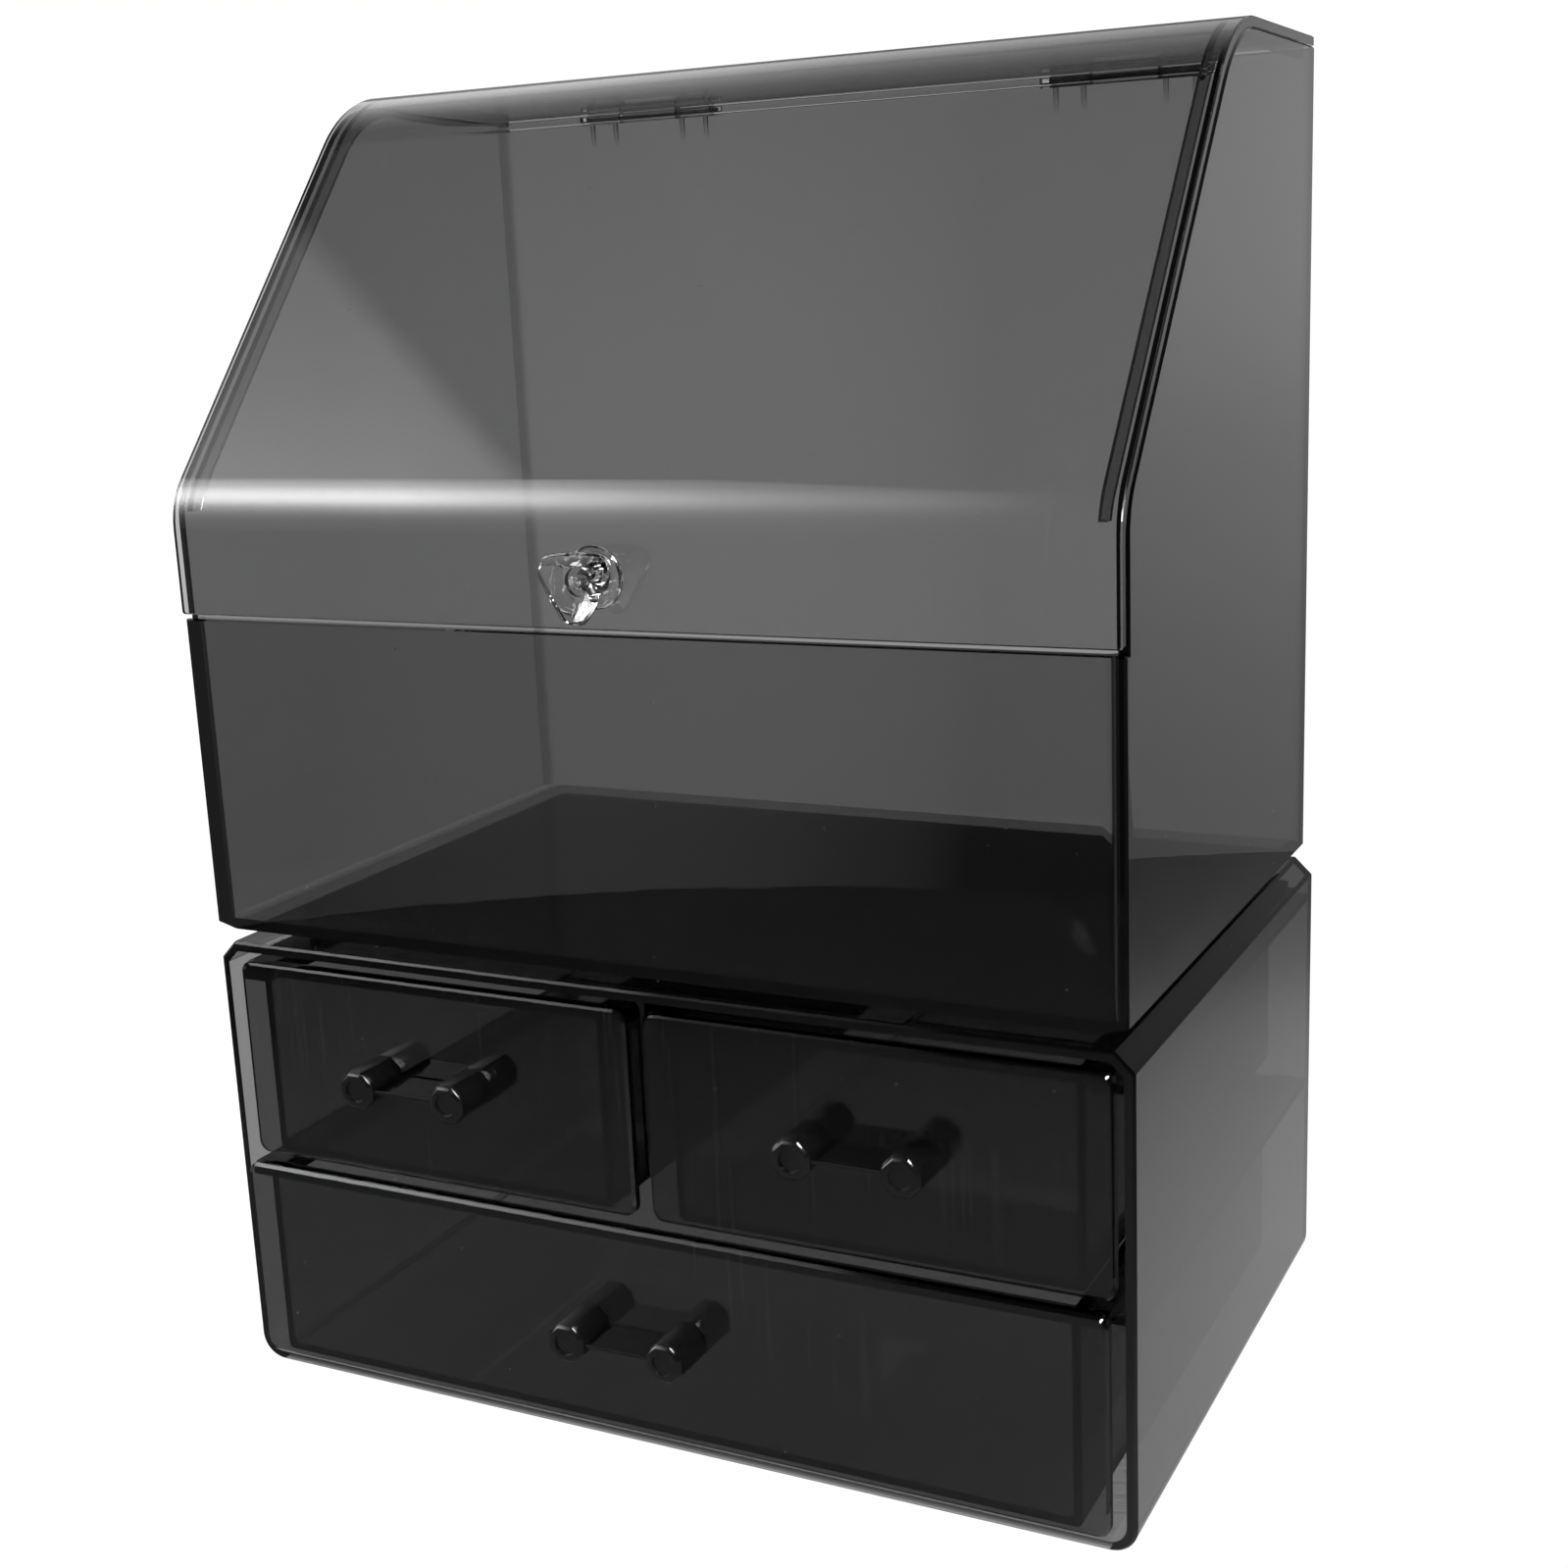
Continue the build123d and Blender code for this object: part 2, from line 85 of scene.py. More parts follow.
DOME_RINGS = 12
DOME_FROM, DOME_TO = 0.04, 0.78
DOME_FALL = 0.22
HEAD_SIDE = ((0.9, 0.74), (0.97, 0.55), (1.0, 0.3), (1.0, 0.06), (0.97, 0.0))
CROSS_ARM = 0.13
CROSS_REACH = 0.66
CROSS_END_SLOPE = 0.2
RINGS_PER_TURN = 7
UNDER_HEAD = 0.0001
THREAD_DEPTH = 0.22
POINT_LENGTH = 0.0016

# Studio light, as courses of (place, strength) stops: metres for the floor, parts of a direction for the rest

FLOOR_BY_DISTANCE = ((0.15, 0.42), (0.3, 0.31), (0.42, 0.12), (0.55, 0.05))
FLOOR_BY_X = ((-0.2, 0.55), (0.09, 0.75), (0.13, 1.35), (0.19, 1.2), (0.28, 0.65), (0.5, 0.6))
FLOOR_SEEN = 1.07
FLOOR_GLOW_SHARE = 0.94
BACKDROP_BY_X = ((-0.65, 1.5), (-0.5, 1.1), (-0.35, 0.7), (0.0, 0.55), (0.3, 0.6))
BACKDROP_BY_Y = ((0.0, 0.0), (0.2, 0.2), (0.6, 0.8), (0.85, 1.0))
BACKDROP_BY_Z = (
    (-0.4, 0.35), (-0.28, 0.35), (-0.1, 0.65), (0.05, 1.0), (0.13, 0.9), (0.24, 0.3), (0.33, 0.3),
    (0.45, 1.3), (0.6, 1.3),
)
FRONT_BY_X = ((-0.62, 0.25), (-0.5, 0.45), (-0.41, 0.3), (-0.36, 0.06))
FRONT_BY_Y = ((-0.2, 1.0), (0.1, 0.0))
SOFTBOX_SIDE = (-0.637, -0.508, -0.58)
SOFTBOX_BY_SIDE = ((0.0, 0.0), (0.014, 1.0))
SOFTBOX_BY_X = ((-0.6, 1.0), (-0.563, 0.78), (-0.506, 0.44), (-0.446, 0.22), (-0.383, 0.1), (-0.33, 0.0))
SOFTBOX_BY_Y = ((-0.12, 1.0), (0.0, 0.0))
SOFTBOX_BY_RISE = (
    (-0.05, 0.0), (0.07, 0.3), (0.18, 0.6), (0.3, 1.4), (0.41, 2.9), (0.52, 6.2), (0.62, 11.0), (0.71, 13.0),
    (0.8, 11.0), (0.87, 6.8), (0.93, 3.1), (0.96, 1.8), (0.98, 0.9), (1.0, 0.4),
)
LAMP_WAY = (0.506, -0.471, 0.722)
LAMP_BY_NEARNESS = ((0.991, 0.0), (0.9955, 1.0))
LAMP_STRENGTH = 80.0
BENT_LIGHT_BY_Z = ((-0.5, 0.15), (-0.3, 1.0), (0.14, 1.0), (0.28, 0.08))


# Properties

class MakeupBoxPlastic(bpy.types.PropertyGroup):
    """Sizes and colours of the see-through smoke plastic."""

    body_density: bpy.props.FloatProperty(
        name="Body density", description="How fast the body's plastic takes light, per metre",
        default=540.0, min=0.0,
    )
    lid_density: bpy.props.FloatProperty(
        name="Lid density", description="How fast the lid's plastic takes light, per metre",
        default=348.0, min=0.0,
    )
    index: bpy.props.FloatProperty(
        name="Refractive index", description="How much the plastic bends light",
        default=1.49, min=1.0, max=2.0,
    )
    colour: bpy.props.FloatVectorProperty(
        name="Smoke colour", description="Colour that a thick piece lets through",
        default=(0.06, 0.06, 0.064), subtype="COLOR", min=0.0, max=1.0,
    )
    roughness: bpy.props.FloatProperty(
        name="Roughness", description="Roughness of the polished faces", default=0.012, min=0.0, max=1.0,
    )
    scuff: bpy.props.FloatProperty(
        name="Scuffs", description="Roughness that hair scratches add", default=0.1, min=0.0, max=1.0,
    )
    speck: bpy.props.FloatProperty(
        name="Specks", description="Roughness that small specks add", default=0.5, min=0.0, max=1.0,
    )


class MakeupBoxPulls(bpy.types.PropertyGroup):
    """Finish and edges of the black pulls."""

    colour: bpy.props.FloatVectorProperty(
        name="Pull colour", description="Colour of the black pulls", default=(0.006, 0.006, 0.0065),
        subtype="COLOR", min=0.0, max=1.0,
    )
    roughness: bpy.props.FloatProperty(
        name="Pull roughness", description="Roughness of the pulls", default=0.05, min=0.0, max=1.0,
    )
    edge: bpy.props.FloatProperty(
        name="Edge", description="Width of the softened edges", default=0.00016,
        subtype="DISTANCE", unit="LENGTH",
    )


class MakeupBoxKnob(bpy.types.PropertyGroup):
    """Sizes of the crystal knob on the lid's lip."""

    disc_radius: bpy.props.FloatProperty(
        name="Disc radius", description="Radius of the disc against the lid", default=0.007,
        subtype="DISTANCE", unit="LENGTH",
    )
    neck_radius: bpy.props.FloatProperty(
        name="Neck radius", description="Radius of the neck behind the gem", default=0.0033,
        subtype="DISTANCE", unit="LENGTH",
    )
    corner_distance: bpy.props.FloatProperty(
        name="Corner distance", description="From the gem's middle to the middle of each corner's arc",
        default=0.007, subtype="DISTANCE", unit="LENGTH",
    )
    corner_radius: bpy.props.FloatProperty(
        name="Corner radius", description="Radius of the gem's three rounded corners", default=0.0025,
        subtype="DISTANCE", unit="LENGTH",
    )
    table_scale: bpy.props.FloatProperty(
        name="Table", description="Size of the flat front face against the whole gem",
        default=0.79, min=0.3, max=1.0,
    )


class MakeupBoxScrews(bpy.types.PropertyGroup):
    """Sizes of the steel screws."""

    head_radius: bpy.props.FloatProperty(
        name="Head radius", description="Radius of the pan head", default=0.00275,
        subtype="DISTANCE", unit="LENGTH",
    )
    head_height: bpy.props.FloatProperty(
        name="Head height", description="Height of the pan head", default=0.0017,
        subtype="DISTANCE", unit="LENGTH",
    )
    thread_radius: bpy.props.FloatProperty(
        name="Thread radius", description="Outer radius of the thread", default=0.00138,
        subtype="DISTANCE", unit="LENGTH",
    )
    thread_pitch: bpy.props.FloatProperty(
        name="Thread pitch", description="From one turn of the thread to the next", default=0.0012,
        subtype="DISTANCE", unit="LENGTH",
    )
    recess_depth: bpy.props.FloatProperty(
        name="Recess depth", description="Depth of the cross in the head", default=0.001,
        subtype="DISTANCE", unit="LENGTH",
    )


class MakeupBoxStudio(bpy.types.PropertyGroup):
    """Camera and floor."""

    camera_place: bpy.props.FloatVectorProperty(
        name="Camera place", description="Where the camera stands", default=(0.2439, -0.4667, 0.2723),
        subtype="TRANSLATION", unit="LENGTH",
    )
    camera_yaw: bpy.props.FloatProperty(
        name="Yaw", description="Turn of the view from +Y towards +X", default=math.radians(-26.953),
        subtype="ANGLE",
    )
    camera_pitch: bpy.props.FloatProperty(
        name="Pitch", description="Tilt of the view upwards", default=math.radians(-13.313), subtype="ANGLE",
    )
    camera_roll: bpy.props.FloatProperty(
        name="Roll", description="Roll of the camera", default=math.radians(-2.499), subtype="ANGLE",
    )
    focal_length: bpy.props.FloatProperty(
        name="Focal length", description="Focal length in millimetres on a 36 mm sensor",
        default=48.905, min=1.0,
    )
    floor_radius: bpy.props.FloatProperty(
        name="Floor radius", description="Radius of the round floor", default=0.55, min=0.1,
        subtype="DISTANCE", unit="LENGTH",
    )
    floor_colour: bpy.props.FloatVectorProperty(
        name="Floor colour", description="Colour of the floor", default=(0.8, 0.8, 0.8),
        subtype="COLOR", min=0.0, max=1.0,
    )


# Helpers for node trees

def node(tree, kind, values=None, **settings):
    """Adds a node, sets its attributes, then sets or links its inputs by name or number."""
    made = tree.nodes.new(kind)
    for key, value in settings.items():
        setattr(made, key, value)
    for key, value in (values or {}).items():
        if isinstance(value, bpy.types.NodeSocket):
            tree.links.new(value, made.inputs[key])
        else:
            made.inputs[key].default_value = value
    return made


def maths(tree, operation, first, second):
    """A Math node's result for two sockets or numbers."""
    return node(tree, "ShaderNodeMath", {0: first, 1: second}, operation=operation).outputs[0]


def product(tree, *factors):
    """All the factors multiplied."""
    result = factors[0]
    for factor in factors[1:]:
        result = maths(tree, "MULTIPLY", result, factor)
    return result


def dot(tree, first, second):
    """The dot product of two vectors."""
    made = node(tree, "ShaderNodeVectorMath", {0: first, 1: second}, operation="DOT_PRODUCT")
    return made.outputs["Value"]


def axes(tree, vector):
    """The three parts of a vector."""
    parts = node(tree, "ShaderNodeSeparateXYZ", {0: vector})
    return [parts.outputs[axis] for axis in "XYZ"]


def spread(tree, value, low, high, first=0.0, last=1.0):
    """Carries low to high over to first to last, level beyond them."""
    span = {"Value": value, "From Min": low, "From Max": high, "To Min": first, "To Max": last}
    return node(tree, "ShaderNodeMapRange", span).outputs["Result"]


def ramp(tree, value, stops):
    """A smooth course through (value, result) stops, level beyond the first and the last of them."""
    low, high = stops[0][0], stops[-1][0]
    top = max(result for _, result in stops)
    curve = node(tree, "ShaderNodeFloatCurve", {"Value": spread(tree, value, low, high)})
    points = curve.mapping.curves[0].points
    for place, result in stops[1:-1]:
        points.new((place - low) / (high - low), result / top)
    for point, (place, result) in zip((points[0], points[len(points) - 1]), (stops[0], stops[-1])):
        point.location = ((place - low) / (high - low), result / top)
    curve.mapping.update()
    return product(tree, curve.outputs[0], top)


def noise(tree, vector, scale, detail):
    """A noise pattern."""
    made = node(tree, "ShaderNodeTexNoise", {"Vector": vector, "Scale": scale, "Detail": detail})
    return made.outputs["Fac"]


def stretched(tree, vector, scale):
    """Coordinates scaled along each axis, which draws a pattern out along the axis of the smallest scale."""
    return node(tree, "ShaderNodeMapping", {"Vector": vector, "Scale": scale}).outputs["Vector"]


def bumped(tree, height, strength, distance):
    """The surface's normal, bent by a pattern of heights."""
    values = {"Strength": strength, "Distance": distance, "Height": height}
    return node(tree, "ShaderNodeBump", values).outputs["Normal"]


def plain_view(tree):
    """One for what is seen directly or through the plastic, nought for mirrored and diffuse light."""
    rays = node(tree, "ShaderNodeLightPath")
    direct = maths(tree, "LESS_THAN", rays.outputs["Glossy Depth"], 0.5)
    lit = maths(tree, "SUBTRACT", 1.0, rays.outputs["Is Diffuse Ray"])
    return product(tree, direct, lit)


def rgba(colour):
    """A colour property as four numbers."""
    return (*colour, 1.0)


# Materials

def blank_material(name):
    """A material with an empty node tree, its output node and the piece's own coordinates."""
    material = bpy.data.materials.new(name)
    material.use_nodes = True
    tree = material.node_tree
    tree.nodes.clear()
    output = node(tree, "ShaderNodeOutputMaterial")
    return material, tree, output, node(tree, "ShaderNodeTexCoord").outputs["Object"]


def surfaced(tree, output, values):
    """Puts a principled surface with these values on the material's output."""
    surface = node(tree, "ShaderNodeBsdfPrincipled", values)
    tree.links.new(surface.outputs[0], output.inputs["Surface"])


def smoke_plastic(name, density, seed):
    """Clear plastic that takes light by its thickness, with faint ripples, hair scratches and specks."""
    plastic = bpy.context.scene.makeup_box_plastic
    material, tree, output, place = blank_material(name)
    shift = {"Vector": place, "Location": (seed, 2 * seed, -seed)}
    moved = node(tree, "ShaderNodeMapping", shift).outputs["Vector"]
    upright = noise(tree, stretched(tree, moved, scale=(420.0, 420.0, 14.0)), scale=1.0, detail=1.0)
    hair = spread(tree, upright, low=0.66, high=0.72)
    rubbing = noise(tree, moved, scale=11.0, detail=1.0)
    patch = spread(tree, rubbing, low=0.56, high=0.66, last=plastic.scuff)
    dust = node(tree, "ShaderNodeTexVoronoi", {"Vector": moved, "Scale": 70.0})
    grain = spread(tree, dust.outputs["Distance"], low=0.016, high=0.026, first=1.0, last=0.0)
    draw = node(tree, "ShaderNodeSeparateColor", {0: dust.outputs["Color"]}).outputs[0]
    speck = product(tree, grain, maths(tree, "GREATER_THAN", draw, SPECKLESS), plastic.speck)
    rubbed = maths(tree, "ADD", product(tree, patch, hair), speck)
    ripple = noise(tree, moved, scale=28.0, detail=2.0)
    surfaced(tree, output, {
        "Base Color": WHITE,
        "Roughness": maths(tree, "ADD", rubbed, plastic.roughness),
        "IOR": plastic.index,
        "Transmission Weight": 1.0,
        "Normal": bumped(tree, ripple, strength=0.05, distance=0.0006),
    })
    inside = node(tree, "ShaderNodeVolumeAbsorption", {"Color": rgba(plastic.colour), "Density": density})
    tree.links.new(inside.outputs[0], output.inputs["Volume"])
    return material


def black_plastic(name):
    """Glossy black moulded plastic with a faint orange-peel ripple and small dull spots."""
    pulls = bpy.context.scene.makeup_box_pulls
    material, tree, output, place = blank_material(name)
    spots = noise(tree, place, scale=220.0, detail=4.0)
    ripple = noise(tree, place, scale=900.0, detail=2.0)
    dull = pulls.roughness + DULL_SPOTS
    surfaced(tree, output, {
        "Base Color": rgba(pulls.colour),
        "Roughness": spread(tree, spots, low=0.45, high=0.75, first=pulls.roughness, last=dull),
        "IOR": 1.49,
        "Specular IOR Level": 0.24,
        "Normal": bumped(tree, ripple, strength=0.12, distance=0.0001),
    })
    return material


def steel(name, grain):
    """Drawn or turned steel: fine grain drawn out by the given scales, bright with a slight haze."""
    material, tree, output, place = blank_material(name)
    lines = noise(tree, stretched(tree, place, grain), scale=1.0, detail=3.0)
    surfaced(tree, output, {
        "Base Color": (0.55, 0.55, 0.56, 1.0),
        "Metallic": 1.0,
        "Roughness": spread(tree, lines, low=0.3, high=0.7, first=0.18, last=0.36),
        "Normal": bumped(tree, lines, strength=0.15, distance=0.00005),
    })
    return material


def crystal(name):
    """Clear acrylic crystal with the faintest ripple in its faces."""
    material, tree, output, place = blank_material(name)
    ripple = noise(tree, place, scale=320.0, detail=2.0)
    surfaced(tree, output, {
        "Base Color": (0.985, 0.985, 0.99, 1.0),
        "Roughness": 0.0,
        "IOR": 1.5,
        "Transmission Weight": 1.0,
        "Normal": bumped(tree, ripple, strength=0.06, distance=0.0002),
    })
    return material


def dress(material, *names):
    """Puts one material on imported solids, in every slot that they have."""
    for name in names:
        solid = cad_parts[name]
        if not solid.material_slots:
            solid.data.materials.append(material)
        for place in solid.material_slots:
            place.material = material


# Shapes

def turned(profile, count):
    """Rings about +Y: each (radius, y) of the profile goes round at even angles from +X towards +Z."""
    angle = np.linspace(0.0, FULL_TURN, count, endpoint=False)
    radius, y = np.array(profile).T[:, :, None]
    return np.stack([radius * np.cos(angle), y + 0 * angle, radius * np.sin(angle)], axis=-1)


def band(rings, count, first):
    """Quads between rings: each point, its neighbour in the ring, and the same two of the next ring."""
    start = first + count * np.arange(rings - 1)[:, None]
    here = start + np.arange(count)
    after = start + (np.arange(count) + 1) % count
    return np.stack([here, after, after + count, here + count], axis=-1).reshape(-1, 4)


def zigzag(rings, count, first):
    """Triangles between rings turned by half a step to and fro: each edge meets a point of the next ring."""
    here = np.arange(count)
    after = (here + 1) % count
    faces = []
    for ring in range(rings - 1):
        low = first + count * ring
        high = low + count
        if ring % 2 == 0:
            faces.append(np.stack([low + here, low + after, high + here], axis=-1))
            faces.append(np.stack([high + here, low + after, high + after], axis=-1))
        else:
            faces.append(np.stack([low + here, low + after, high + after], axis=-1))
            faces.append(np.stack([high + here, low + here, high + after], axis=-1))
    return np.concatenate(faces)


def fan(ring, tip):
    """Triangles from every edge of a ring to one point."""
    return np.stack([ring, np.roll(ring, -1), np.full(ring.size, tip)], axis=-1)


def halfway(angle):
    """The angles halfway between each of a ring's angles and the next."""
    return (angle + np.append(angle[1:], angle[0] + FULL_TURN)) / 2


def ring_to_ring(fine, fine_angle, coarse, coarse_angle):
    """Flat triangles between rings of different counts: each edge goes to the other ring's nearest point."""
    middle = halfway(fine_angle)
    border = halfway(coarse_angle)
    near = np.searchsorted(border, middle) % coarse.size
    step = np.searchsorted(middle, border % FULL_TURN) % fine.size
    return np.concatenate([
        np.stack([fine, np.roll(fine, -1), coarse[near]], axis=-1),
        np.stack([np.roll(coarse, -1), coarse, fine[step]], axis=-1),
    ])


def piece_of(name, built, smooth_below):
    """A new piece from a built mesh, with the edges that turn by less than the angle smoothed."""
    mesh = bpy.data.meshes.new(name)
    built.to_mesh(mesh)
    built.free()
    mesh.shade_smooth()
    mesh.set_sharp_from_angle(angle=smooth_below)
    piece = bpy.data.objects.new(name, mesh)
    bpy.context.scene.collection.objects.link(piece)
    return piece


def solid(name, points, faces, smooth_below):
    """A closed piece from points and lists of faces, with its normals turned outwards."""
    rough = bpy.data.meshes.new("rough")
    rough.from_pydata(points.tolist(), [], [face for part in faces for face in part.tolist()])
    built = bmesh.new()
    built.from_mesh(rough)
    bpy.data.meshes.remove(rough)
    bmesh.ops.recalc_face_normals(built, faces=built.faces)
    return piece_of(name, built, smooth_below)


def softened(name, source, width):
    """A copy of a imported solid, its loose triangles joined and its flat faces made whole, with narrow rounded
    edges."""
    built = bmesh.new()
    built.from_mesh(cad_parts[source].data)
    bmesh.ops.remove_doubles(built, verts=built.verts, dist=1e-6)
    bmesh.ops.dissolve_limit(built, angle_limit=math.radians(2), verts=built.verts, edges=built.edges)
    crease = math.radians(25)
    crisp = [edge for edge in built.edges if len(edge.link_faces) == 2 and edge.calc_face_angle() > crease]
    bmesh.ops.bevel(
        built, geom=crisp, offset=width, segments=2, profile=0.5, affect="EDGES", clamp_overlap=True,
    )
    return piece_of(name, built, smooth_below=math.radians(24))


def gem_outline(knob, angle):
    """Radius of a rounded triangle at polar angles, corners at 30, 150 and 270 degrees: three straight sides
    with a slight bow, joined by three arcs. On an arc it is the ray's far crossing of the corner's circle."""
    reach, arc = knob.corner_distance, knob.corner_radius
    first_corner, sixth = math.radians(30), math.pi / 3
    off = np.abs((angle - first_corner + sixth) % (2 * sixth) - sixth)
    tangent = arc_end(knob)
    on_arc = reach * np.cos(off) + np.sqrt(np.maximum(arc ** 2 - (reach * np.sin(off)) ** 2, 0.0))
    bow = 1 + GEM_SIDE_BOW * np.clip((off - tangent) / (sixth - tangent), 0.0, 1.0)
    on_side = (arc + reach / 2) / np.cos(sixth - off) * bow
    return np.where(off < tangent, on_arc, on_side)


def arc_end(knob):
    """The polar angle from a corner's middle to the end of its arc."""
    arc = knob.corner_radius
    return math.atan2(arc * math.sin(math.pi / 3), knob.corner_distance + arc / 2)


def knob_shape(name, knob, place, bore):
    """The knob as one closed surface: a bore for the screw, a rimmed disc and a neck turned about its axis,
    then a gem of flat facets. The gem's rings are its outline scaled, each turned by half a step from the one
    before. From the crown to the table their middles sink a little."""
    disc, neck = knob.disc_radius, knob.neck_radius
    profile = [
        (KNOB_BORE_RADIUS, -bore),
        (KNOB_BORE_RADIUS, -KNOB_OFF_LID),
        (0.94 * disc, -KNOB_OFF_LID),
        (disc, -DISC_EDGE),
        (disc, DISC_EDGE - DISC_THICKNESS),
        (0.95 * disc, -DISC_THICKNESS),
        (0.87 * disc, -DISC_THICKNESS),
        (0.84 * disc, -DISC_DISH_DEPTH),
        (1.25 * neck, -DISC_DISH_DEPTH),
        (1.04 * neck, -DISC_THICKNESS),
        (neck, -NECK_FOOT_DEPTH),
        (neck, -GEM_BACK_DEPTH),
    ]
    count = 72
    turned_part = turned(profile, count).reshape(-1, 3)
    corner = arc_end(knob)
    steps = np.array([-corner, -corner / 2, 0.0, corner / 2, corner, math.pi / 3])
    aligned = (np.radians([30, 150, 270])[:, None] + steps).ravel()
    levels = (*GEM_LEVELS, (GEM_FRONT_DEPTH, knob.table_scale))
    rings = []
    for number, (depth, scale) in enumerate(levels):
        angle = halfway(aligned) if number % 2 else aligned
        radius = scale * gem_outline(knob, angle)
        sunk = np.clip((depth - GEM_CROWN_DEPTH) / (GEM_FRONT_DEPTH - GEM_CROWN_DEPTH), 0.0, 1.0)
        height = GEM_CROWN_HEIGHT - GEM_TABLE_DROP * sunk
        across, up = radius * np.cos(angle), radius * np.sin(angle) + height
        rings.append(np.stack([across, np.full(angle.size, -depth), up], axis=-1))
    back, front = [[0.0, -bore, 0.0]], [[0.0, -GEM_FRONT_DEPTH, 0.0]]
    points = np.concatenate([back, turned_part, *rings, front]) + np.array(place)
    first_gem = 1 + len(turned_part)
    last_turned = first_gem - count
    sides = aligned.size
    faces = [
        fan(1 + np.arange(count), 0),
        band(len(profile), count, 1),
        ring_to_ring(
            last_turned + np.arange(count), np.linspace(0.0, FULL_TURN, count, endpoint=False),
            first_gem + np.arange(sides), aligned,
        ),
        zigzag(len(levels), sides, first_gem),
        fan(len(points) - 1 - sides + np.arange(sides), len(points) - 1),
    ]
    return solid(name, points, faces, smooth_below=math.radians(11))


def screw_shape(name, screws, places, length):
    """Pan-head screws that point along -Y. The head's dome falls with the square of the radius, and the depth
    of the cross pressed into it falls off from the arms' middle lines. The thread's radius is a triangle wave
    of length / pitch minus angle / full turn."""
    count = 48
    head, high, thread = screws.head_radius, screws.head_height, screws.thread_radius
    dome = np.linspace(DOME_FROM, DOME_TO, DOME_RINGS)
    top = np.column_stack([head * dome, high * (1 - DOME_FALL * dome ** 2)])
    side = [*(np.array(HEAD_SIDE) * (head, high)), (1.1 * thread, 0.0)]
    rows = int(length / screws.thread_pitch * RINGS_PER_TURN)
    along = np.linspace(0.0, 1.0, rows)
    shank = np.column_stack([np.full(rows, thread), -UNDER_HEAD - (length - UNDER_HEAD) * along])
    rings = turned(np.concatenate([top, side, shank]), count)
    across = np.abs(rings[:DOME_RINGS, :, 0])
    up = np.abs(rings[:DOME_RINGS, :, 2])
    arm = np.clip(1.35 - np.minimum(across, up) / (CROSS_ARM * head), 0.0, 1.0)
    end = np.clip((CROSS_REACH * head - np.maximum(across, up)) / (CROSS_END_SLOPE * head), 0.0, 1.0)
    rings[:DOME_RINGS, :, 1] -= screws.recess_depth * arm * end
    angle = np.linspace(0.0, 1.0, count, endpoint=False)
    wave = np.abs((length * along[:, None] / screws.thread_pitch - angle) % 1.0 - 0.5) * 2
    point = np.clip((1 - along[:, None]) * length / POINT_LENGTH, 0.15, 1.0)
    share = (1 - THREAD_DEPTH + THREAD_DEPTH * wave) * point
    rings[-rows:, :, 0] *= share
    rings[-rows:, :, 2] *= share
    recess, tip = [[0.0, high - screws.recess_depth, 0.0]], [[0.0, -length, 0.0]]
    one = np.concatenate([recess, rings.reshape(-1, 3), tip])
    last = len(one) - 1
    faces = [
        fan(1 + np.arange(count), 0),
        band(len(rings), count, 1),
        fan(last - count + np.arange(count), last),
    ]
    points = np.concatenate([one + np.array(place) for place in places])
    all_faces = [part + len(one) * number for number in range(len(places)) for part in faces]
    return solid(name, points, all_faces, smooth_below=math.radians(32))


def stand_in(piece, replaced, body, material):
    """Gives a piece its material and body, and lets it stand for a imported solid."""
    piece.data.materials.append(material)
    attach(piece, body)
    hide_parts(replaced)


# Operators

class MAKEUPBOX_OT_case(bpy.types.Operator):
    """Finish the case shell and the partition between the upper drawers"""

    bl_idname = "makeup_box.case"
    bl_label = "Case"

    def execute(self, context):
        density = context.scene.makeup_box_plastic.body_density
        dress(smoke_plastic("case_smoke", density, seed=0.0), "case_shell", "centre_divider")
        return {"FINISHED"}


class MAKEUPBOX_OT_drawers(bpy.types.Operator):
    """Finish the drawer trays and their fronts"""

    bl_idname = "makeup_box.drawers"
    bl_label = "Drawers"

    def execute(self, context):
        density = context.scene.makeup_box_plastic.body_density
        dress(smoke_plastic("tray_smoke", density, seed=0.3), "tray_left", "tray_right", "tray_bottom")
        dress(smoke_plastic("front_smoke", density, seed=0.7), "front_left", "front_right", "front_bottom")
        return {"FINISHED"}


class MAKEUPBOX_OT_pulls(bpy.types.Operator):
    """Make the black pulls with softened edges"""

    bl_idname = "makeup_box.pulls"
    bl_label = "Pulls"

    def execute(self, context):
        finish = black_plastic("pull_black")
        for side in ("left", "right", "bottom"):
            source = f"pull_{side}"
            piece = softened(f"bevelled_{source}", source, context.scene.makeup_box_pulls.edge)
            stand_in(piece, source, f"drawer_{side}", finish)
        return {"FINISHED"}


class MAKEUPBOX_OT_display_box(bpy.types.Operator):
    """Finish the display box and its hinge pins"""

    bl_idname = "makeup_box.display_box"
    bl_label = "Display box"

    def execute(self, context):
        density = context.scene.makeup_box_plastic.body_density
        dress(smoke_plastic("box_smoke", density, seed=1.1), "display_box")
        dress(steel("pin_steel", grain=(60.0, 4000.0, 4000.0)), "hinge_pin_left", "hinge_pin_right")
        return {"FINISHED"}


class MAKEUPBOX_OT_lid(bpy.types.Operator):
    """Finish the bent lid"""

    bl_idname = "makeup_box.lid"
    bl_label = "Lid"

    def execute(self, context):
        density = context.scene.makeup_box_plastic.lid_density
        dress(smoke_plastic("lid_smoke", density, seed=1.9), "lid")
        return {"FINISHED"}


